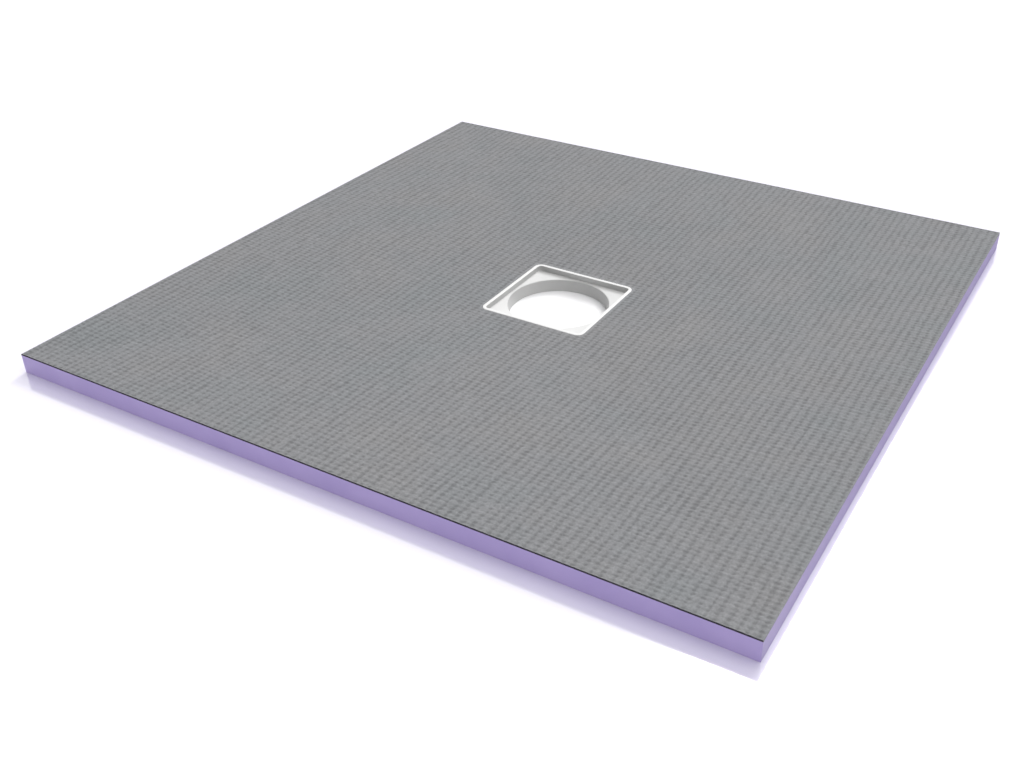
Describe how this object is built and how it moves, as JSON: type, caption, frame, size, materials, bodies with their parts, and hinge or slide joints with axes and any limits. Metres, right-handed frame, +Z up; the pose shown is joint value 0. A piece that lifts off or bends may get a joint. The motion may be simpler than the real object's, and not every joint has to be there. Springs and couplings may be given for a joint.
{
  "type": "tileable shower tray",
  "caption": "Square foam shower tray with a mesh-reinforced mortar coat that falls on four sides to a central square drain insert with a round sleeve.",
  "frame": {"origin": "centre of the sleeve's end, the lowest level of the part, under the middle of the tray", "axes": "+Z up, out of the tiled side; X and Y along the tray's sides"},
  "size_m": [0.9, 0.9, 0.039],
  "materials": {
    "foam": "violet extruded foam with cut faces",
    "mortar": "grey cement mortar over woven glass mesh",
    "drain_plastic": "white moulded plastic, satin"
  },
  "bodies": {
    "root": {"foam_core": "foam", "mortar_coat": "mortar", "drain_frame": "drain_plastic"}
  },
  "joints": []
}
